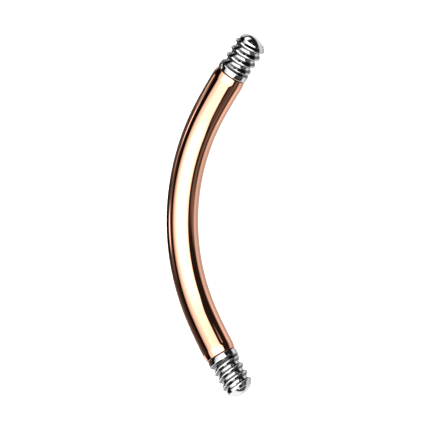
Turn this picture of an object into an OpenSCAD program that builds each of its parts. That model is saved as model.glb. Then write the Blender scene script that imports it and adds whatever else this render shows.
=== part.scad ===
// Curved barbell: a bent bar with a coated middle and two bare threaded ends, lying on its side.
// The bend lies flat, tips to +X, and the object is the same when turned half round about X.

/* [Bar] */
// Diameter of the coated bar, 14 gauge
bar_d = 1.6; // [1.58:0.01:1.7]
// Length of the coated bar along its bend, from one plating line to the other
bar_len = 15; // [13:0.5:20]
// Radius of the tighter bend in the middle, on the bar's centreline
mid_bend_r = 9.3; // [8.5:0.1:10]
// Radius of the wider bends on either side of it, which take up what is left of the length
outer_bend_r = 19.6; // [15:0.1:24]

/* [Threaded ends] */
// Diameter of the plain collar next to the plating line, where the bar's rim is bevelled down to it
collar_d = 1.52; // [1.5:0.01:1.56]
// Length of the collar at its full diameter
collar_len = 0.24; // [0.2:0.01:0.3]
// Diameter of the thread's core, between its ridges
core_d = 1.19; // [1.12:0.01:1.24]
// Length of the core, from the plating line to the start of the domed tip
core_len = 1.76; // [1.7:0.02:2.2]
// Height of the domed tip
dome_h = 0.34; // [0.2:0.02:0.5]
// Diameter over the thread's ridges
crest_d = 1.48; // [1.42:0.01:1.49]
// Distance from one ridge to the next
pitch = 0.4; // [0.36:0.01:0.42]
// Width of a ridge along its top
crest_w = 0.05; // [0.03:0.01:0.08]
// Length along the axis that each side of a ridge slopes over
flank_run = 0.11; // [0.08:0.01:0.12]
// Turns of the thread, from inside the collar to its run-out at the tip
thread_turns = 3.8; // [3:0.1:3.9]
// Where round the axis the thread starts, in degrees
thread_start_angle = 130; // [0:5:355]

/* [Hidden] */

// Facets that round surfaces are drawn with
round_fn = 72;
// Sections of the thread's ridge in one turn
sections_per_turn = 30;
// The bends meet where both this cosine and this sine are exact, so that their tubes meet face to face
joint_cos = 0.8432;
joint_sin = 0.5376;
// Turns over which the ridge sinks away at the tip
run_out_turns = 0.17;
// How deep the ridge's foot is set into the core
foot_depth = 0.05;
// How far the rounded shoulders of a ridge lie below its top
crest_round = 0.012;
// What is left of the ridge's height at the end of its run-out, below the core's surface
least_rise = 0.05;

bar_r = bar_d / 2;
collar_r = collar_d / 2;
core_r = core_d / 2;
crest_r = crest_d / 2;

// The bend is a middle arc between two wider arcs
degree = PI / 180;
joint_angle = atan2(joint_sin, joint_cos);
end_angle = joint_angle + (bar_len / 2 - mid_bend_r * joint_angle * degree) / (outer_bend_r * degree);
end_axis = [sin(end_angle), cos(end_angle)];

// The plating line's middle, measured from the middle of the bar's centreline
wider_by = outer_bend_r - mid_bend_r;
plating_point = [mid_bend_r + wider_by * joint_cos - outer_bend_r * end_axis[1],
                 -wider_by * joint_sin + outer_bend_r * end_axis[0]];

// The chamfer falls at 45 degrees from the collar to the core
chamfer_len = collar_r - core_r;
// The dome is a cap of this ball
dome_r = (core_r * core_r + dome_h * dome_h) / (2 * dome_h);
dome_centre_z = core_len + dome_h - dome_r;
// The ridge starts inside the collar
thread_from = collar_len - 0.04;

// The tip's furthest reach in +X, over the dome or over the last ridge
last_ridge_z = thread_from + pitch * (thread_turns - run_out_turns) + crest_w / 2;
tip_reach_x = plating_point[0] + max(dome_centre_z * end_axis[0] + dome_r,
                                     last_ridge_z * end_axis[0] + crest_r * end_axis[1]);
middle_x = (tip_reach_x - bar_r) / 2;

// Radius of the bare tip at a height, for the ridge's foot to be set into
function tip_r(z) = z <= core_len ? core_r
    : sqrt(max(dome_r * dome_r - pow(z - dome_centre_z, 2), 0.01));

// Height of the ridge at a turn, as a share of its full height
function rise(turn) = max(least_rise, min(1, (thread_turns - turn) / run_out_turns));

// One section of the ridge as [radius, height] points, from its lower foot over its top to its upper foot
function ridge_section(turn) =
    let (z = thread_from + pitch * turn,
         share = rise(turn),
         foot = crest_w / 2 + flank_run * share + foot_depth / 2,
         low_r = tip_r(z - foot) - foot_depth,
         high_r = tip_r(z + foot) - foot_depth,
         top_r = core_r - foot_depth + share * (crest_r - core_r + foot_depth),
         shoulder_r = top_r - crest_round * share)
    [[low_r, z - foot],
     [shoulder_r, z - crest_w / 2],
     [top_r, z],
     [shoulder_r, z + crest_w / 2],
     [high_r, z + foot]];

function turned(section, angle) = [for (p = section) [p[0] * cos(angle), p[0] * sin(angle), p[1]]];

module thread_ridge() {
    steps = round(thread_turns * sections_per_turn);
    side = len(ridge_section(0));
    points = [for (k = [0 : steps])
        let (turn = k / sections_per_turn)
        each turned(ridge_section(turn), thread_start_angle + 360 * turn)];
    skin = [for (k = [0 : steps - 1], j = [0 : side - 1])
        let (a = k * side + j, b = k * side + (j + 1) % side)
        each [[a, b + side, a + side], [a, b, b + side]]];
    start_cap = [for (j = [1 : side - 2]) [0, j + 1, j]];
    last = steps * side;
    end_cap = [for (j = [1 : side - 2]) [last, last + j, last + j + 1]];
    polyhedron(points = points, faces = concat(skin, start_cap, end_cap), convexity = 6);
}

// A whole ring of the bar's tube, lying in the XY plane
module bar_ring(radius) {
    rotate_extrude($fn = 4 * round_fn)
        translate([radius, 0])
            circle(r = bar_r, $fn = round_fn);
}

// Turns +Y from the middle bend's centre to the direction the bar takes at the upper joint
module at_upper_joint() {
    translate([mid_bend_r, 0, 0])
        rotate([0, 0, -joint_angle])
            children();
}

// The half of space past the joint
module past_joint() {
    reach = 4 * outer_bend_r;
    translate([-reach / 2, 0, -bar_d])
        cube([reach, reach, 2 * bar_d]);
}

// Stands an end up along +Z from the plating plane, then turns it to the bar's end
module at_upper_end() {
    translate([plating_point[0], plating_point[1], 0])
        rotate([0, 0, -end_angle])
            rotate([-90, 0, 0])
                children();
}

// From the joint to the plating line, where a cone bevels the rim down to the collar
module outer_arc() {
    intersection() {
        at_upper_joint()
            intersection() {
                translate([wider_by, 0, 0])
                    bar_ring(outer_bend_r);
                past_joint();
            }
        at_upper_end()
            translate([0, 0, -bar_len / 2])
                cylinder(h = bar_len / 2, r1 = collar_r + bar_len / 2, r2 = collar_r, $fn = round_fn);
    }
}

// The coated middle: one middle arc and two outer arcs
module curved_bar() {
    color([0.87, 0.58, 0.45])
        lay_flat() {
            difference() {
                translate([mid_bend_r, 0, 0])
                    bar_ring(mid_bend_r);
                at_upper_joint()
                    past_joint();
                rotate([180, 0, 0])
                    at_upper_joint()
                        past_joint();
            }
            outer_arc();
            rotate([180, 0, 0])
                outer_arc();
        }
}

// The bare end without its ridge: collar, chamfer, core and domed tip
module turned_end() {
    intersection() {
        rotate_extrude($fn = round_fn)
            polygon([[0, 0], [collar_r, 0], [collar_r, collar_len], [core_r, collar_len + chamfer_len],
                     [core_r, core_len + 2 * dome_h], [0, core_len + 2 * dome_h]]);
        union() {
            translate([0, 0, dome_centre_z])
                sphere(r = dome_r, $fn = round_fn);
            translate([0, 0, -dome_r])
                cylinder(h = dome_r + dome_centre_z, r = collar_d, $fn = round_fn);
        }
    }
}

// A bare end with the ridge of its right-hand thread
module threaded_end() {
    turned_end();
    thread_ridge();
}

module upper_threaded_end() {
    color([0.8, 0.81, 0.82])
        lay_flat()
            at_upper_end()
                threaded_end();
}

module lower_threaded_end() {
    color([0.8, 0.81, 0.82])
        lay_flat()
            rotate([180, 0, 0])
                at_upper_end()
                    threaded_end();
}

// Puts the origin at the middle of the box's foot, with the bar resting on its side
module lay_flat() {
    translate([-middle_x, 0, bar_r])
        children();
}

curved_bar();
upper_threaded_end();
lower_threaded_end();
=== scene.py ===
"""A curved barbell on a pale floor: a mirror-bright rose-gold bar with bare steel threaded ends."""

from __future__ import annotations

import logging
import math
from dataclasses import dataclass
from enum import Enum

import bmesh
import bpy
from mathutils import Matrix, Vector

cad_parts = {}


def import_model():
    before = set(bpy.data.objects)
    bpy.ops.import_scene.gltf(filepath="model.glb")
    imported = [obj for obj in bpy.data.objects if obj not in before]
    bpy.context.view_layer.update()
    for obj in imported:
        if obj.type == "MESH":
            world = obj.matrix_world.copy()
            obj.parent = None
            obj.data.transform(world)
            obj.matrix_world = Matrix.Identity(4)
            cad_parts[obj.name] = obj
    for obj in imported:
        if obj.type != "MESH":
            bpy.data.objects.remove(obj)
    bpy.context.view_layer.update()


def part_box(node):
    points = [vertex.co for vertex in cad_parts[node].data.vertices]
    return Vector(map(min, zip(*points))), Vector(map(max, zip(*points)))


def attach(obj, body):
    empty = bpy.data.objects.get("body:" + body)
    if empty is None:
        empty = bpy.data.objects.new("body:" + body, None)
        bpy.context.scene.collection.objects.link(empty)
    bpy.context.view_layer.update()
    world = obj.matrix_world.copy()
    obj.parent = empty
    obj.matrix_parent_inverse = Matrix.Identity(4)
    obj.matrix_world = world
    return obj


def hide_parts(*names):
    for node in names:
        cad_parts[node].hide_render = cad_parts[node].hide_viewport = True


LOG = logging.getLogger("curved_barbell")
MM = 0.001
BODY = "root"
OWN_PLACE = "own_place"
WHITE = (1.0, 1.0, 1.0, 1.0)

Point = tuple[float, float, float]
Colour = tuple[float, float, float, float]
Outline = list[tuple[float, float]]
Socket = bpy.types.NodeSocket


class Slot(Enum):
    """The record's material slots."""

    ROSE_GOLD = "rose_gold_coating"
    STEEL = "bare_steel"


class End(Enum):
    """The two ends of the bar, with the side of the chord that each lies on."""

    UPPER = 1
    LOWER = -1

    @property
    def node(self) -> str:
        """The CAD node that an end's piece stands for."""
        return f"{self.name.lower()}_threaded_end"


@dataclass(frozen=True)
class Bend:
    """The bar's bend on its centreline, in millimetres: a middle arc between two wider arcs."""

    middle_radius: float = 9.3
    outer_radius: float = 19.6
    joint_cosine: float = 0.8432
    joint_sine: float = 0.5376
    length: float = 15.0

    @property
    def joint_angle(self) -> float:
        """How far the middle arc turns, each way from the crown, in radians."""
        return math.atan2(self.joint_sine, self.joint_cosine)

    @property
    def outer_turn(self) -> float:
        """How far each outer arc turns, in radians."""
        return (self.length / 2 - self.middle_radius * self.joint_angle) / self.outer_radius

    @property
    def end_angle(self) -> float:
        """How far the bend turns in all, each way from the crown, in radians."""
        return self.joint_angle + self.outer_turn

    @property
    def wider_by(self) -> float:
        """What the outer arcs' radius has over the middle arc's."""
        return self.outer_radius - self.middle_radius

    def outer_centre(self, end: End) -> Vector:
        """The centre of an outer arc, from the crown of the centreline."""
        return Vector((self.middle_radius + self.wider_by * self.joint_cosine,
                       -end.value * self.wider_by * self.joint_sine, 0.0))

    def plating_point(self, end: End) -> Vector:
        """The middle of a plating line, from the crown of the centreline."""
        out = Vector((-math.cos(self.end_angle), end.value * math.sin(self.end_angle), 0.0))
        return self.outer_centre(end) + self.outer_radius * out


class Bench:
    """Small habits of modelling with operators, shared by every piece."""

    @staticmethod
    def clear_selection() -> None:
        """Leaves edit mode and selects nothing."""
        if bpy.context.object and bpy.context.object.mode != "OBJECT":
            bpy.ops.object.mode_set(mode="OBJECT")
        bpy.ops.object.select_all(action="DESELECT")

    @staticmethod
    def hold(piece: bpy.types.Object) -> None:
        """Makes a piece the only selected and active one.

        Args:
            piece: The piece to work on.
        """
        Bench.clear_selection()
        piece.select_set(True)
        bpy.context.view_layer.objects.active = piece

    @staticmethod
    def ring(name: str, sides: int, radius: float, closed: bool) -> bpy.types.Object:
        """Adds a ring of edges about +Z at the origin and leaves it all selected in edit mode.

        Args:
            name: The piece's name.
            sides: How many edges the ring has.
            radius: Its radius, in metres.
            closed: Whether a face fills it.

        Returns:
            The new piece.
        """
        Bench.clear_selection()
        fill = "NGON" if closed else "NOTHING"
        bpy.ops.mesh.primitive_circle_add(vertices=sides, radius=radius, fill_type=fill)
        piece = bpy.context.object
        piece.name = name
        bpy.ops.object.mode_set(mode="EDIT")
        bpy.ops.mesh.select_all(action="SELECT")
        return piece

    @staticmethod
    def extrude(rise: float) -> None:
        """Extrudes what is selected along +Z.

        Args:
            rise: How far, in metres.
        """
        bpy.ops.mesh.extrude_region_move(TRANSFORM_OT_translate={"value": (0.0, 0.0, rise)})

    @staticmethod
    def step_ring(rise: float, ratio: float, height: float) -> None:
        """Extrudes the selected ring along +Z and scales the new one about the axis.

        Args:
            rise: How far the new ring lies above the last, in metres.
            ratio: Its radius as a share of the last ring's.
            height: The height that it then lies at, in metres.
        """
        Bench.extrude(rise)
        bpy.ops.transform.resize(value=(ratio, ratio, 1.0), center_override=(0.0, 0.0, height))

    @staticmethod
    def cap_holes() -> None:
        """Fills every open loop of the piece in edit mode with one face each."""
        bpy.ops.mesh.select_mode(type="EDGE")
        bpy.ops.mesh.select_all(action="DESELECT")
        bpy.ops.mesh.select_non_manifold()
        bpy.ops.mesh.edge_face_add()

    @staticmethod
    def close_up(sharp_angle: float) -> None:
        """Turns all faces outwards, leaves edit mode and shades all but the sharp edges smooth.

        Args:
            sharp_angle: The angle between faces, in radians, past which an edge stays sharp.
        """
        bpy.ops.mesh.select_all(action="SELECT")
        bpy.ops.mesh.normals_make_consistent(inside=False)
        bpy.ops.object.mode_set(mode="OBJECT")
        bpy.ops.object.shade_smooth_by_angle(angle=sharp_angle)

    @staticmethod
    def settle(piece: bpy.types.Object, place: Matrix) -> None:
        """Carries a piece to its place, which goes into its mesh.

        Args:
            piece: The piece, modelled about the origin.
            place: Where it goes.
        """
        piece.matrix_world = place
        Bench.hold(piece)
        bpy.ops.object.transform_apply(location=True, rotation=True, scale=True)

    @staticmethod
    def is_closed(piece: bpy.types.Object) -> bool:
        """Whether every edge of a piece has two faces.

        Args:
            piece: The piece to look at.

        Returns:
            True for a closed piece.
        """
        mesh = bmesh.new()
        mesh.from_mesh(piece.data)
        closed = all(edge.is_manifold for edge in mesh.edges)
        mesh.free()
        return closed


@dataclass(frozen=True)
class Fade:
    """A smooth change from low to high as some value goes from start to end."""

    start: float
    end: float
    low: float = 0.0
    high: float = 1.0


@dataclass(frozen=True)
class Grain:
    """Smooth noise, by its waves to a millimetre and its finer octaves."""

    scale: float
    detail: float


class NodeSheet:
    """A node tree that nodes are added to by plain calls."""

    def __init__(self, tree: bpy.types.NodeTree) -> None:
        """Empties the tree, to fill it anew."""
        self.tree = tree
        self.tree.nodes.clear()

    def add(self, kind: str, **settings: object) -> bpy.types.Node:
        """Adds a node.

        Args:
            kind: The node's Blender type.
            settings: Values of its own properties.

        Returns:
            The node.
        """
        node = self.tree.nodes.new(kind)
        for name, value in settings.items():
            setattr(node, name, value)
        return node

    def feed(self, socket: Socket, value: object) -> None:
        """Gives an input a link or a plain value.

        Args:
            socket: The input.
            value: Another node's output, or a number, point or colour.
        """
        if isinstance(value, Socket):
            self.tree.links.new(value, socket)
        else:
            socket.default_value = value

    def math(self, operation: str, *values: object) -> Socket:
        """Works out one number from others.

        Args:
            operation: A Math node's operation.
            values: Its inputs, links or numbers.

        Returns:
            The result.
        """
        node = self.add("ShaderNodeMath", operation=operation)
        for socket, value in zip(node.inputs, values):
            self.feed(socket, value)
        return node.outputs[0]

    def split(self, vector: Socket) -> tuple[Socket, Socket, Socket]:
        """Takes a vector apart.

        Args:
            vector: The vector.

        Returns:
            Its three parts.
        """
        parts = self.add("ShaderNodeSeparateXYZ")
        self.feed(parts.inputs[0], vector)
        return tuple(parts.outputs)

    def product(self, first: object, *others: object) -> Socket:
        """Multiplies numbers.

        Args:
            first: The first factor.
            others: The others, one or more.

        Returns:
            Their product.
        """
        result = first
        for other in others:
            result = self.math("MULTIPLY", result, other)
        return result

    def rise(self, value: object, start: object, end: object,
             low: object = 0.0, high: object = 1.0) -> Socket:
        """Goes smoothly from low to high as a value goes from start to end.

        Args:
            value: The value that is followed.
            start: Where the rise begins.
            end: Where it is done.
            low: The result up to the start.
            high: The result past the end.

        Returns:
            The result.
        """
        node = self.add("ShaderNodeMapRange", interpolation_type="SMOOTHSTEP")
        for socket, given in zip(node.inputs, (value, start, end, low, high)):
            self.feed(socket, given)
        return node.outputs[0]

    def fade(self, value: object, fade: Fade) -> Socket:
        """Follows a fade.

        Args:
            value: The value that it depends on.
            fade: The fade.

        Returns:
            The result.
        """
        return self.rise(value, fade.start, fade.end, fade.low, fade.high)

    def noise(self, place: Socket, grain: Grain, stretch: Point = (1.0, 1.0, 1.0)) -> Socket:
        """Gives smooth noise from 0 to 1.

        Args:
            place: The coordinates that it lies in.
            grain: How fine it is.
            stretch: How much closer its waves lie along each axis.

        Returns:
            The noise.
        """
        mapping = self.add("ShaderNodeMapping")
        self.feed(mapping.inputs["Vector"], place)
        self.feed(mapping.inputs["Scale"], stretch)
        node = self.add("ShaderNodeTexNoise")
        self.feed(node.inputs["Vector"], mapping.outputs[0])
        self.feed(node.inputs["Scale"], grain.scale)
        self.feed(node.inputs["Detail"], grain.detail)
        return node.outputs[0]

    def blend(self, share: object, first: Colour, second: Colour) -> Socket:
        """Mixes two colours.

        Args:
            share: The second colour's share.
            first: The colour at 0.
            second: The colour at 1.

        Returns:
            The mixed colour.
        """
        node = self.add("ShaderNodeMix", data_type="RGBA")
        self.feed(node.inputs["Factor"], share)
        self.feed(node.inputs["A"], first)
        self.feed(node.inputs["B"], second)
        return node.outputs["Result"]


@dataclass(frozen=True)
class PaintedGrooveShade:
    """Painted shade: a dark tint laid low on the thread's flanks and all over the neck, where the grooves
    and the neck fall into shade.

    It lies between two distances from the end's own axis, in millimetres. The outer one is larger up to
    neck_reach, and the painted shade ends at reach, both from the plating line.
    """

    tint: Colour
    inner: float
    outer: float
    neck_outer: float
    neck_reach: float
    reach: float
    blur: float

    def paint_shade(self, sheet: NodeSheet, own: Socket, bare: Socket) -> Socket:
        """Lays the painted shade of the grooves and the neck over a colour.

        Args:
            sheet: The material's nodes.
            own: The piece's own coordinates, with its axis along Y.
            bare: The metal's colour without it.

        Returns:
            The colour with the painted shade.
        """
        across, along, beside = sheet.split(own)
        square = sheet.math("MULTIPLY_ADD", across, across, sheet.product(beside, beside))
        radius = sheet.math("SQRT", square)
        above_root = sheet.rise(radius, self.inner, self.inner + self.blur)
        outer = sheet.rise(along, self.neck_reach, self.neck_reach + self.blur, self.neck_outer, self.outer)
        below_crest = sheet.rise(radius, sheet.math("SUBTRACT", outer, self.blur), outer, 1.0, 0.0)
        before_tip = sheet.rise(along, self.reach - self.blur, self.reach, 1.0, 0.0)
        # painted shade: mixes the dark tint in between the root and the crest, and over the neck
        return sheet.blend(sheet.product(above_root, below_crest, before_tip), bare, self.tint)


@dataclass(frozen=True)
class Finish:
    """A polished metal, with polishing marks that run along or round the piece."""

    name: str
    slot: Slot
    light_tint: Colour
    deep_tint: Colour
    roughness: Fade
    mark_stretch: Point
    mark_depth: float
    ripple_depth: float
    # painted shade of a finish's grooves and neck, if it has any
    painted_shade: PaintedGrooveShade | None = None
    cloud: Grain = Grain(0.9, 3.0)
    marks: Grain = Grain(6.0, 2.0)
    ripple: Grain = Grain(0.7, 1.0)

    def material(self) -> bpy.types.Material:
        """Builds the finish on the piece's own coordinates, in millimetres along and round it.

        Returns:
            The material.
        """
        material = bpy.data.materials.new(self.name)
        material.use_nodes = True
        sheet = NodeSheet(material.node_tree)
        own = sheet.add("ShaderNodeAttribute", attribute_name=OWN_PLACE).outputs["Vector"]
        cloud = sheet.noise(own, self.cloud)
        marks = sheet.noise(own, self.marks, self.mark_stretch)
        ripple = sheet.noise(own, self.ripple)
        shader = sheet.add("ShaderNodeBsdfPrincipled")
        sheet.feed(shader.inputs["Metallic"], 1.0)
        tint = sheet.blend(cloud, self.light_tint, self.deep_tint)
        # the steel's thread flanks and neck get painted shade over the metal's own tint
        sheet.feed(shader.inputs["Base Color"], self.painted_shade.paint_shade(sheet, own, tint) if self.painted_shade else tint)
        wear = sheet.product(sheet.math("ADD", cloud, marks), 0.5)
        sheet.feed(shader.inputs["Roughness"], sheet.fade(wear, self.roughness))
        waves = sheet.add("ShaderNodeBump")
        sheet.feed(waves.inputs["Height"], ripple)
        sheet.feed(waves.inputs["Distance"], self.ripple_depth * MM)
        scratches = sheet.add("ShaderNodeBump")
        sheet.feed(scratches.inputs["Height"], marks)
        sheet.feed(scratches.inputs["Distance"], self.mark_depth * MM)
        sheet.feed(scratches.inputs["Normal"], waves.outputs[0])
        sheet.feed(shader.inputs["Normal"], scratches.outputs[0])
        output = sheet.add("ShaderNodeOutputMaterial")
        sheet.feed(output.inputs["Surface"], shader.outputs[0])
        return material


ROSE_GOLD = Finish(
    name="mirror_rose_gold",
    slot=Slot.ROSE_GOLD,
    light_tint=(0.85, 0.445, 0.305, 1.0),
    deep_tint=(0.82, 0.42, 0.28, 1.0),
    roughness=Fade(0.35, 0.65, 0.03, 0.05),
    mark_stretch=(0.15, 6.0, 6.0),
    mark_depth=0.00002,
    ripple_depth=0.0003,
)
# Painted shade for the steel ends: a near-black tint on the thread's flanks and neck, in place of the shade
# in the grooves.
STEEL_PAINTED_SHADE = PaintedGrooveShade(
    tint=(0.14, 0.14, 0.145, 1.0),
    inner=0.602,
    outer=0.705,
    neck_outer=0.748,
    neck_reach=0.44,
    reach=1.74,
    blur=0.012,
)
STEEL = Finish(
    name="bright_steel",
    slot=Slot.STEEL,
    light_tint=(0.63, 0.63, 0.64, 1.0),
    deep_tint=(0.58, 0.58, 0.59, 1.0),
    roughness=Fade(0.35, 0.65, 0.04, 0.1),
    mark_stretch=(0.2, 8.0, 0.2),
    mark_depth=0.0001,
    ripple_depth=0.0003,
    painted_shade=STEEL_PAINTED_SHADE,
)


@dataclass(frozen=True)
class CoatedBar:
    """The bent bar between the plating lines, in millimetres, with a rounded rim at each end."""

    bend: Bend
    radius: float = 0.8
    rim_drop: float = 0.055
    rim_length: float = 0.42
    rim_rings: int = 14
    lip_radius: float = 0.035
    lip_turns: tuple[float, ...] = (85.0, 65.0, 45.0, 25.0)
    sides: int = 96
    middle_rings: int = 72
    outer_rings: int = 12
    sharp_angle: float = math.radians(50)

    def rim_profile(self) -> Outline:
        """Gives the rim's rings as (distance from the plating line, radius), from the line inwards.

        Returns:
            Points over a small rounded lip and then up a long soft shoulder.
        """
        lip = self.lip_radius
        edge = self.radius - self.rim_drop
        turns = [math.radians(turn) for turn in self.lip_turns]
        rounded = [(lip * (1 - math.sin(turn)), edge - lip * (1 - math.cos(turn))) for turn in turns]
        shares = [k / self.rim_rings for k in range(self.rim_rings + 1)]
        slope = [(lip + (self.rim_length - lip) * share, self.radius - self.rim_drop * (1 - share) ** 2)
                 for share in shares]
        return [(0.0, edge - lip), *rounded, *slope]

    def spin_on(self, centre: Vector, angle: float, steps: int) -> None:
        """Spins the selected ring on round a centre of the bend.

        Args:
            centre: The arc's centre from the crown, in millimetres.
            angle: How far the ring travels, in radians.
            steps: How many rings that makes.
        """
        bpy.ops.mesh.spin(steps=steps, angle=angle, center=centre * MM, axis=(0.0, 0.0, 1.0))

    def resize_ring(self, turned: float, end: End, ratio: float) -> None:
        """Scales the selected ring about its own middle on the centreline.

        Args:
            turned: How far from the plating line the ring lies, as an angle of the outer arc, in radians.
            end: The end that it belongs to.
            ratio: Its new radius as a share of the old.
        """
        angle = self.bend.end_angle - turned
        out = Vector((-math.cos(angle), end.value * math.sin(angle), 0.0))
        middle = self.bend.outer_centre(end) + self.bend.outer_radius * out
        bpy.ops.transform.resize(value=(ratio,) * 3, center_override=middle * MM)

    def model(self) -> bpy.types.Object:
        """Spins one ring from the lower plating line to the upper one, and shapes both rims on the way.

        Returns:
            The bar, with the crown of its centreline at the origin.
        """
        bend = self.bend
        profile = self.rim_profile()
        piece = Bench.ring("rose_gold_bar", self.sides, profile[0][1] * MM, closed=False)
        to_start = (Matrix.Translation(bend.plating_point(End.LOWER) * MM)
                    @ Matrix.Rotation(bend.end_angle, 4, "Z") @ Matrix.Rotation(math.radians(90), 4, "X"))
        bpy.ops.object.mode_set(mode="OBJECT")
        Bench.settle(piece, to_start)
        bpy.ops.object.mode_set(mode="EDIT")
        bpy.ops.mesh.select_all(action="SELECT")
        for (near, small), (far, large) in zip(profile, profile[1:]):
            self.spin_on(bend.outer_centre(End.LOWER), (far - near) / bend.outer_radius, 1)
            self.resize_ring(far / bend.outer_radius, End.LOWER, large / small)
        plain_turn = bend.outer_turn - self.rim_length / bend.outer_radius
        self.spin_on(bend.outer_centre(End.LOWER), plain_turn, self.outer_rings)
        self.spin_on(Vector((bend.middle_radius, 0.0, 0.0)), 2 * bend.joint_angle, self.middle_rings)
        self.spin_on(bend.outer_centre(End.UPPER), plain_turn, self.outer_rings)
        inwards = profile[::-1]
        for (far, large), (near, small) in zip(inwards, inwards[1:]):
            self.spin_on(bend.outer_centre(End.UPPER), (far - near) / bend.outer_radius, 1)
            self.resize_ring(near / bend.outer_radius, End.UPPER, small / large)
        Bench.cap_holes()
        Bench.close_up(self.sharp_angle)
        self.mark_own_place(piece)
        return piece

    def mark_own_place(self, piece: bpy.types.Object) -> None:
        """Stores where each point lies along and round the bar, in millimetres, for the finish to follow.

        Args:
            piece: The bar, with the crown of its centreline at the origin.
        """
        marks = piece.data.attributes.new(OWN_PLACE, "FLOAT_VECTOR", "POINT")
        centre = Vector((self.bend.middle_radius, 0.0, 0.0))
        for vertex, mark in zip(piece.data.vertices, marks.data):
            spoke = vertex.co / MM - centre
            along = math.atan2(spoke.y, -spoke.x) * self.bend.middle_radius
            outwards = Vector((spoke.x, spoke.y)).length - self.bend.middle_radius
            mark.vector = (along, outwards, spoke.z)


@dataclass(frozen=True)
class ThreadedEnd:
    """A bare end, in millimetres from its plating line along its own axis, with angles in radians."""

    collar_radius: float = 0.76
    straight_length: float = 0.28
    neck_round: float = 0.03
    neck_turn: float = math.radians(43)
    core_radius: float = 0.595
    length: float = 2.1
    tip_radius: float = 0.61
    tip_flare: float = 0.045
    tip_band: float = 0.13
    band_slant: float = math.radians(10)
    tip_round: float = 0.04
    tip_turn: float = math.radians(45)
    crest_radius: float = 0.74
    pitch: float = 0.4
    tip_flank: float = math.radians(46)
    bar_flank: float = math.radians(38)
    crest_round: float = 0.045
    root_round: float = 0.025
    arc_steps: int = 4
    ridge_depth: float = 0.03
    turns: float = 3.8
    start_angle: float = math.radians(130)
    start_height: float = 0.23
    run_out_turns: float = 0.17
    run_out_least: float = 0.05
    section_slack: float = 0.004
    edge_round: float = 0.012
    groove_depth: float = 0.1
    groove_width: float = 0.065
    sides: int = 96
    steps_per_turn: int = 64
    neck_rings: int = 12
    core_rings: int = 12
    shoulder_rings: int = 8
    cap_rings: int = 10
    sharp_angle: float = math.radians(32)

    def turned_profile(self) -> Outline:
        """Gives the outline without the thread, as (radius, height) from the plating line to the tip.

        Returns:
            The outline's points, the last one on the axis.
        """
        edge = self.edge_round
        slant = edge * math.sqrt(0.5)
        points = [(self.collar_radius - self.groove_depth, 0.0),
                  (self.collar_radius - slant / 2, self.groove_width - slant / 2),
                  (self.collar_radius, self.groove_width + edge)]
        for k in range(self.neck_rings + 1):
            turn = self.neck_turn * k / self.neck_rings
            points.append((self.collar_radius - self.neck_round * (1 - math.cos(turn)),
                           self.straight_length + self.neck_round * math.sin(turn)))
        core_start = points[-1][1] + (points[-1][0] - self.core_radius) / math.tan(self.neck_turn)
        tip = self.tip_profile()
        rise = (tip[0][1] - core_start) / self.core_rings
        points += [(self.core_radius, core_start + rise * k) for k in range(self.core_rings)]
        return points + tip

    def tip_profile(self) -> Outline:
        """Gives the tip's outline: a flare, a band that narrows again, a tight shoulder and a flat dome.

        Returns:
            Its points as (radius, height), the last one on the axis.
        """
        turn = self.tip_turn
        shoulder = math.radians(90) - turn
        cap_edge = self.tip_radius - self.tip_round * (1 - math.cos(shoulder))
        cap_radius = cap_edge / math.sin(turn)
        cap_centre = self.length - cap_radius
        base = cap_centre + cap_radius * math.cos(turn) - self.tip_round * math.sin(shoulder)
        band_foot = base - self.tip_band
        foot_radius = self.tip_radius + self.tip_band * math.tan(self.band_slant)
        points = [(self.core_radius, band_foot - self.tip_flare), (foot_radius, band_foot)]
        for k in range(self.shoulder_rings):
            angle = self.band_slant + (shoulder - self.band_slant) * k / self.shoulder_rings
            points.append((self.tip_radius - self.tip_round * (1 - math.cos(angle)),
                           base + self.tip_round * math.sin(angle)))
        for k in range(self.cap_rings + 1):
            angle = turn * (1 - k / self.cap_rings)
            points.append((cap_radius * math.sin(angle), cap_centre + cap_radius * math.cos(angle)))
        return points

    def turned_body(self) -> bpy.types.Object:
        """Turns the collar, neck, core and domed tip from one ring.

        Returns:
            The closed body, about +Z.
        """
        points = self.turned_profile()
        piece = Bench.ring("turned_end", self.sides, points[0][0] * MM, closed=True)
        for (radius, height), (next_radius, next_height) in zip(points, points[1:-1]):
            Bench.step_ring((next_height - height) * MM, next_radius / radius, next_height * MM)
        Bench.extrude((points[-1][1] - points[-2][1]) * MM)
        bpy.ops.mesh.merge(type="CENTER")
        Bench.close_up(self.sharp_angle)
        return piece

    def ridge_side(self, flank: float) -> Outline:
        """Gives one side of the ridge's section as (radius, distance from its middle), from the crest down.

        Args:
            flank: The angle between the flank and a plane across the axis, in radians.

        Returns:
            The side's points, with a rounded crest and a hollow root, the last one inside the core.
        """
        top, hollow = self.crest_round, self.root_round
        steep = math.radians(90) - flank
        turns = [steep * k / self.arc_steps for k in range(self.arc_steps + 1)]
        crest_middle = self.crest_radius - top
        crest = [(crest_middle + top * math.cos(turn), top * math.sin(turn)) for turn in turns]
        foot = crest[-1][1] + (crest[-1][0] - self.core_radius) * math.tan(flank)
        hollow_middle = foot + hollow * math.tan(steep / 2)
        root = [(self.core_radius + hollow * (1 - math.cos(turn)), hollow_middle - hollow * math.sin(turn))
                for turn in turns[:0:-1]]
        return [*crest, *root, (self.core_radius - self.ridge_depth, root[-1][1] + self.ridge_depth / 2)]

    def ridge_section(self) -> Outline:
        """Gives a section of the ridge as (radius, height above its middle), from foot to foot.

        Returns:
            The section's points, whose ends lie inside the core.
        """
        lower = [(radius, -height) for radius, height in self.ridge_side(self.bar_flank)[:0:-1]]
        return lower + self.ridge_side(self.tip_flank)

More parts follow.
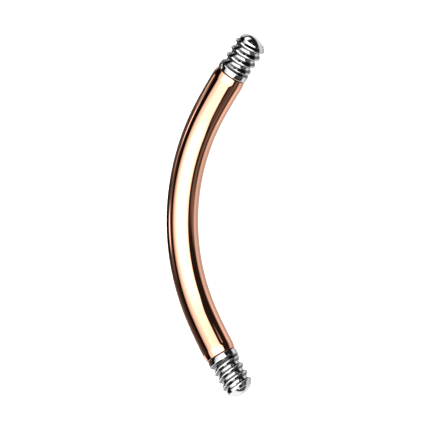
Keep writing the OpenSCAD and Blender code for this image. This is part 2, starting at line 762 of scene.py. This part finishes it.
    def ridge(self) -> bpy.types.Object:
        """Screws the ridge's section round the axis and sinks its last stretch into the core.

        Returns:
            The closed ridge, about +Z.
        """
        section = self.ridge_section()
        Bench.clear_selection()
        bpy.ops.mesh.primitive_circle_add(vertices=len(section), radius=MM, fill_type="NOTHING")
        piece = bpy.context.object
        piece.name = "thread_ridge"
        for vertex, (radius, height) in zip(piece.data.vertices, section):
            vertex.co = Vector((radius, 0.0, height + self.start_height)) * MM
        piece.matrix_world = Matrix.Rotation(self.start_angle, 4, "Z")
        bpy.ops.object.transform_apply(location=True, rotation=True, scale=True)
        screw = piece.modifiers.new("screw", "SCREW")
        screw.angle = 2 * math.pi * self.turns
        screw.screw_offset = self.pitch * self.turns * MM
        screw.steps = screw.render_steps = round(self.turns * self.steps_per_turn)
        screw.use_smooth_shade = True
        bpy.ops.object.modifier_apply(modifier=screw.name)
        self.sink_run_out(piece)
        bpy.ops.object.mode_set(mode="EDIT")
        Bench.cap_holes()
        Bench.close_up(self.sharp_angle)
        return piece

    def sink_run_out(self, piece: bpy.types.Object) -> None:
        """Shrinks the ridge's last sections towards their feet, ring by ring.

        Args:
            piece: The ridge at its full height all along.
        """
        bpy.ops.object.mode_set(mode="EDIT")
        bpy.ops.mesh.select_mode(type="VERT")
        last = round(self.turns * self.steps_per_turn)
        for step in range(last - round(self.run_out_turns * self.steps_per_turn) + 1, last + 1):
            turn = step / self.steps_per_turn
            share = max(self.run_out_least, (self.turns - turn) / self.run_out_turns)
            angle = self.start_angle + 2 * math.pi * turn
            spoke = Vector((math.cos(angle), math.sin(angle), 0.0))
            height = self.start_height + self.pitch * turn
            self.select_section(piece, spoke, height)
            foot = spoke * (self.core_radius - self.ridge_depth) + Vector((0.0, 0.0, height))
            bpy.ops.transform.resize(value=(share,) * 3, center_override=foot * MM)
        bpy.ops.object.mode_set(mode="OBJECT")

    def select_section(self, piece: bpy.types.Object, spoke: Vector, height: float) -> None:
        """Selects the points of one section of the ridge by their place.

        Args:
            piece: The ridge, in edit mode.
            spoke: The way from the axis to the section.
            height: The height of the section's middle, in millimetres.
        """
        bpy.ops.mesh.select_all(action="DESELECT")
        mesh = bmesh.from_edit_mesh(piece.data)
        side = Vector((-spoke.y, spoke.x, 0.0))
        for vertex in mesh.verts:
            at = vertex.co / MM
            on_spoke = abs(at.dot(side)) < self.section_slack and at.dot(spoke) > 0
            if on_spoke and abs(at.z - height) < self.pitch / 2:
                vertex.select = True
        mesh.select_flush(True)
        bmesh.update_edit_mesh(piece.data)

    def model(self) -> bpy.types.Object:
        """Joins the ridge to the turned body as one closed skin.

        Returns:
            The threaded end, about +Z from its plating line.
        """
        body = self.turned_body()
        ridge = self.ridge()
        union = body.modifiers.new("thread", "BOOLEAN")
        union.operation = "UNION"
        union.solver = "EXACT"
        union.object = ridge
        Bench.hold(body)
        bpy.ops.object.modifier_apply(modifier=union.name)
        bpy.data.objects.remove(ridge)
        bpy.ops.object.shade_smooth_by_angle(angle=self.sharp_angle)
        self.mark_own_place(body)
        return body

    def mark_own_place(self, piece: bpy.types.Object) -> None:
        """Stores each point's place about the end's own axis, in millimetres, for the finish to follow.

        Args:
            piece: The end, about +Z.
        """
        marks = piece.data.attributes.new(OWN_PLACE, "FLOAT_VECTOR", "POINT")
        for vertex, mark in zip(piece.data.vertices, marks.data):
            at = vertex.co / MM
            mark.vector = (at.x, at.z, at.y)


@dataclass
class CurvedBarbell:
    """The whole jewel: the coated bar and a threaded end at each side, placed by the CAD's boxes."""

    bar: CoatedBar
    end: ThreadedEnd

    def crown(self) -> Vector:
        """Finds the crown of the centreline, in metres, from the bar's own box."""
        low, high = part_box("curved_bar")
        return Vector((low.x + self.bar.radius * MM, (low.y + high.y) / 2, (low.z + high.z) / 2))

    def dress(self, piece: bpy.types.Object, node: str,
              material: bpy.types.Material) -> None:
        """Dresses a piece, hangs it on the body and hides the CAD node that it stands for.
            material: The finish's material.
        """
        piece.data.materials.clear()
        piece.data.materials.append(material)
        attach(piece, BODY)
        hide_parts(node)
        LOG.info("%s: %d faces, closed %s", piece.name, len(piece.data.polygons), Bench.is_closed(piece))

    def build(self) -> None:
        """Models, places and dresses every piece."""
        crown = Matrix.Translation(self.crown())
        bar = self.bar.model()
        Bench.settle(bar, crown)
        self.dress(bar, "curved_bar", ROSE_GOLD.material())
        pattern = self.end.model()
        steel = STEEL.material()
        bend = self.bar.bend
        upright = (Matrix.Translation(bend.plating_point(End.UPPER) * MM)
                   @ Matrix.Rotation(-bend.end_angle, 4, "Z") @ Matrix.Rotation(math.radians(-90), 4, "X"))
        turned_over = Matrix.Rotation(math.radians(180), 4, "X")
        for end, place in ((End.UPPER, upright), (End.LOWER, turned_over @ upright)):
            piece = pattern.copy()
            piece.data = pattern.data.copy()
            piece.name = f"{end.name.lower()}_steel_thread"
            bpy.context.scene.collection.objects.link(piece)
            Bench.settle(piece, crown @ place)
            self.dress(piece, end.node, steel)
        bpy.data.objects.remove(pattern)


@dataclass(frozen=True)
class Card:
    """A soft-edged reflector or strip light in the light tent, in degrees by the direction it lies in."""

    name: str
    azimuth: float
    elevation: float
    width: float
    height: float
    side_blur: float
    end_blur: float
    radiance: float

    def glow(self, sheet: NodeSheet, way: Socket, climb: Socket) -> Socket:
        """Works out the card's light.

        Args:
            sheet: The world's nodes.
            way: The direction that is looked in.
            climb: Its elevation, in radians.

        Returns:
            The card's radiance in that direction.
        """
        turned = sheet.add("ShaderNodeMapping")
        sheet.feed(turned.inputs["Vector"], way)
        sheet.feed(turned.inputs["Rotation"], (0.0, 0.0, -math.radians(self.azimuth)))
        ahead, left, _ = sheet.split(turned.outputs[0])
        aside = sheet.math("ABSOLUTE", sheet.math("ARCTAN2", left, ahead))
        above = sheet.math("ABSOLUTE", sheet.math("SUBTRACT", climb, math.radians(self.elevation)))
        across = sheet.rise(aside, math.radians(self.width - self.side_blur) / 2,
                            math.radians(self.width + self.side_blur) / 2, 1.0, 0.0)
        along = sheet.rise(above, math.radians(self.height - self.end_blur) / 2,
                           math.radians(self.height + self.end_blur) / 2, self.radiance, 0.0)
        return sheet.product(across, along)


@dataclass(frozen=True)
class Cloth:
    """The tent's white cloth: overhead, and in front down to just above the horizon.

    Its lower edge is a height, as the direction's part along +Z. In front it lies between lowest and
    highest_in_front, lower the further the direction points along +X. Behind it climbs with the part
    along -X, with a step between the two ends' sides. The shares dim the cloth by the direction's parts.
    """

    radiance: float = 3.4
    blur: Fade = Fade(-0.03, 0.03)
    front_height: float = 1.045
    front_fall: float = -1.15
    lowest: float = 0.15
    upper_rise: float = 0.18
    highest_in_front: float = 0.42
    back_rise: float = -0.81
    back_step: Fade = Fade(-0.02, 0.025, -0.05, 0.05)
    behind: Fade = Fade(-0.4, -0.2, 1.0, 0.0)
    middle_share: Fade = Fade(-0.2, 0.05, 0.62, 1.0)
    back_share: Fade = Fade(-0.65, -0.2, 0.6, 1.0)
    low_share: Fade = Fade(0.15, 0.6, 0.58, 1.0)
    end_slant: float = -0.6
    upper_share: Fade = Fade(0.05, 0.35, 1.0, 0.62)
    lower_share: Fade = Fade(0.18, 0.34, 1.0, 0.74)

    def hang(self, sheet: NodeSheet, x: Socket, y: Socket, z: Socket) -> tuple[Socket, Socket]:
        """Works out the cloth by direction.

        Args:
            sheet: The world's nodes.
            x: The direction's part along +X.
            y: Its part along +Y.
            z: Its part along +Z.

        Returns:
            Whether the cloth is there, from 0 to 1, and its radiance.
        """
        fall = sheet.math("MULTIPLY_ADD", x, self.front_fall, self.front_height)
        slant = sheet.math("MULTIPLY_ADD", sheet.math("MAXIMUM", y, 0.0), self.upper_rise,
                           sheet.math("MAXIMUM", fall, self.lowest))
        front = sheet.math("MINIMUM", slant, self.highest_in_front)
        back = sheet.math("MULTIPLY_ADD", sheet.math("MINIMUM", x, 0.0), self.back_rise, front)
        step = sheet.product(sheet.fade(y, self.back_step), sheet.fade(x, self.behind))
        there = sheet.fade(sheet.math("SUBTRACT", z, sheet.math("ADD", back, step)), self.blur)
        towards_upper = sheet.math("MULTIPLY_ADD", x, self.end_slant, y)
        towards_lower = sheet.math("MULTIPLY_ADD", x, self.end_slant, sheet.product(y, -1.0))
        radiance = sheet.product(
            self.radiance,
            sheet.fade(x, self.middle_share),
            sheet.fade(x, self.back_share),
            sheet.fade(z, self.low_share),
            sheet.fade(towards_upper, self.upper_share),
            sheet.fade(towards_lower, self.lower_share),
        )
        return there, radiance


@dataclass(frozen=True)
class Surround:
    """What lies below the cloth's edge: a dark room and, further down, a pale floor.

    The fades give radiance, or shares of it, by the direction's parts along the axes.
    """

    dark: Fade = Fade(0.1, 0.5, 0.007, 0.021)
    floor: Fade = Fade(-0.74, -0.5, 0.92, 0.0)
    floor_behind: Fade = Fade(-0.75, -0.2, 0.2, 1.0)
    floor_underneath: Fade = Fade(-0.975, -0.85, 0.68, 1.0)
    lift_at_ends: Fade = Fade(0.3, 0.6, 0.0, 0.3)
    lift_of_floor: Fade = Fade(-0.74, -0.5, 1.0, 0.0)

    def base(self, sheet: NodeSheet, x: Socket, z: Socket) -> Socket:
        """Works out the dark room and the floor by direction.

        Args:
            sheet: The world's nodes.
            x: The direction's part along +X.
            z: Its part along +Z.

        Returns:
            The radiance.
        """
        floor = sheet.product(sheet.fade(z, self.floor), sheet.fade(x, self.floor_behind),
                              sheet.fade(z, self.floor_underneath))
        return sheet.math("MAXIMUM", floor, sheet.fade(x, self.dark))

    def lifted(self, sheet: NodeSheet, y: Socket, z: Socket, room: Socket) -> Socket:
        """Brightens all that lies low off both ends of the bar.

        Args:
            sheet: The world's nodes.
            y: The direction's part along +Y.
            z: Its part along +Z.
            room: The radiance so far.

        Returns:
            The radiance.
        """
        at_ends = sheet.fade(sheet.math("ABSOLUTE", y), self.lift_at_ends)
        lift = sheet.product(at_ends, sheet.fade(z, self.lift_of_floor))
        return sheet.math("MULTIPLY_ADD", room, lift, room)


@dataclass(frozen=True)
class Studio:
    """The floor, the light tent all round and the camera, in millimetres and degrees."""

    floor_side: float = 800.0
    floor_tint: Colour = (0.82, 0.82, 0.82, 1.0)
    floor_roughness: float = 0.8
    floor_glow: float = 0.7
    cloth: Cloth = Cloth()
    surround: Surround = Surround()
    backdrop_radiance: float = 1.0
    shade_tint: Colour = (1.0, 0.84, 0.76, 1.0)
    shade_fade: Fade = Fade(0.1, 0.6)
    cards: tuple[Card, ...] = (
        Card("low_front", -28.0, -16.0, 60.0, 18.0, 24.0, 12.0, 0.22),
        Card("low_front_stripe", -2.0, -27.0, 26.0, 8.0, 20.0, 8.0, 0.37),
        Card("low_side_stripe", -40.0, -22.0, 30.0, 6.0, 20.0, 8.0, 0.28),
        Card("dim_front_lower", -52.0, 2.0, 16.0, 18.0, 10.0, 10.0, 0.13),
        Card("floor_behind_left", -156.0, -30.0, 22.0, 60.0, 12.0, 50.0, 0.35),
        Card("floor_behind_right", 164.0, -25.0, 26.0, 70.0, 12.0, 40.0, 0.13),
        Card("wall_behind_left", -156.0, 8.0, 26.0, 50.0, 12.0, 24.0, 0.066),
        Card("wall_behind_right", 166.0, 6.0, 22.0, 46.0, 10.0, 20.0, 0.08),
        Card("strip_behind", -175.5, 22.5, 6.0, 9.0, 6.0, 6.0, 3.1),
        Card("strip_behind_halo", -176.0, 24.0, 16.0, 24.0, 12.0, 16.0, 0.26),
        Card("strip_middle_right", 172.5, 20.0, 7.0, 9.0, 7.0, 8.0, 0.7),
        Card("strip_right", 166.0, 25.0, 8.0, 8.0, 7.0, 8.0, 2.3),
        Card("strip_far_right", 157.5, 13.0, 7.0, 8.0, 6.0, 7.0, 1.8),
        Card("spot_in_front", 49.5, 4.0, 4.0, 6.0, 4.0, 6.0, 0.9),
        Card("side_panel_upper", 85.0, 9.0, 20.0, 48.0, 6.0, 8.0, 2.2),
        Card("side_panel_lower", -100.0, -12.0, 60.0, 56.0, 14.0, 14.0, 1.5),
        Card("low_panel_upper", 128.0, -22.0, 44.0, 32.0, 10.0, 10.0, 0.9),
        Card("slim_panel_lower", -147.0, -12.0, 10.0, 18.0, 5.0, 8.0, 1.6),
    )
    camera_place: Point = (22.94, 1.26, 30.82)
    camera_aim: Point = (0.27, 0.0, 0.8)
    camera_roll: float = 2.0
    focal_length: float = 64.58
    sensor_width: float = 36.0

    def floor(self) -> None:
        """Lays the plain pale light table, which mirrors leave out: they show the tent's own lower half."""
        Bench.clear_selection()
        bpy.ops.mesh.primitive_plane_add(size=self.floor_side * MM)
        floor = bpy.context.object
        floor.name = "pale_floor"
        floor.visible_glossy = False
        material = bpy.data.materials.new("pale_floor")
        material.use_nodes = True
        shader = material.node_tree.nodes["Principled BSDF"]
        shader.inputs["Base Color"].default_value = self.floor_tint
        shader.inputs["Roughness"].default_value = self.floor_roughness
        shader.inputs["Emission Color"].default_value = WHITE
        shader.inputs["Emission Strength"].default_value = self.floor_glow
        floor.data.materials.append(material)

    def light_tent(self) -> None:
        """Sets the world as a tent of cloth, cards, a dark room and a pale floor, on a plain backdrop."""
        world = bpy.data.worlds.new("light_tent")
        bpy.context.scene.world = world
        world.use_nodes = True
        sheet = NodeSheet(world.node_tree)
        way = sheet.add("ShaderNodeTexCoord").outputs["Generated"]
        x, y, z = sheet.split(way)
        climb = sheet.math("ARCSINE", z)
        there, cloth = self.cloth.hang(sheet, x, y, z)
        room = self.surround.base(sheet, x, z)
        for card in self.cards:
            room = sheet.math("MAXIMUM", room, card.glow(sheet, way, climb))
        room = self.surround.lifted(sheet, y, z, room)
        level = sheet.add("ShaderNodeMix", data_type="FLOAT")
        sheet.feed(level.inputs["Factor"], there)
        sheet.feed(level.inputs["A"], room)
        sheet.feed(level.inputs["B"], cloth)
        seen = sheet.add("ShaderNodeLightPath").outputs["Is Camera Ray"]
        backdrop = sheet.add("ShaderNodeMix", data_type="FLOAT")
        sheet.feed(backdrop.inputs["Factor"], seen)
        sheet.feed(backdrop.inputs["A"], level.outputs[0])
        sheet.feed(backdrop.inputs["B"], self.backdrop_radiance)
        tint = sheet.blend(sheet.fade(backdrop.outputs[0], self.shade_fade), self.shade_tint, WHITE)
        background = sheet.add("ShaderNodeBackground")
        sheet.feed(background.inputs["Color"], tint)
        sheet.feed(background.inputs["Strength"], backdrop.outputs[0])
        output = sheet.add("ShaderNodeOutputWorld")
        sheet.feed(output.inputs["Surface"], background.outputs[0])

    def camera(self) -> None:
        """Stands the camera where the photograph was taken from."""
        Bench.clear_selection()
        bpy.ops.object.camera_add()
        camera = bpy.context.object
        camera.data.sensor_width = self.sensor_width
        camera.data.lens = self.focal_length
        camera.data.clip_start = MM
        place = Vector(self.camera_place) * MM
        back = (place - Vector(self.camera_aim) * MM).normalized()
        right = Vector((0.0, 1.0, 0.0)).cross(back).normalized()
        level = Matrix((right, back.cross(right), back)).transposed().to_4x4()
        roll = Matrix.Rotation(math.radians(self.camera_roll), 4, "Z")
        camera.matrix_world = Matrix.Translation(place) @ level @ roll
        scene = bpy.context.scene
        scene.camera = camera
        scene.view_settings.view_transform = "Standard"

    def build(self) -> None:
        """Sets up everything round the jewel."""
        self.floor()
        self.light_tent()
        self.camera()


def main() -> None:
    """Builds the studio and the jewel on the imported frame."""
    logging.basicConfig(level=logging.INFO, format="%(name)s: %(message)s")
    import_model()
    Studio().build()
    CurvedBarbell(CoatedBar(Bend()), ThreadedEnd()).build()


if __name__ == "__main__":
    main()
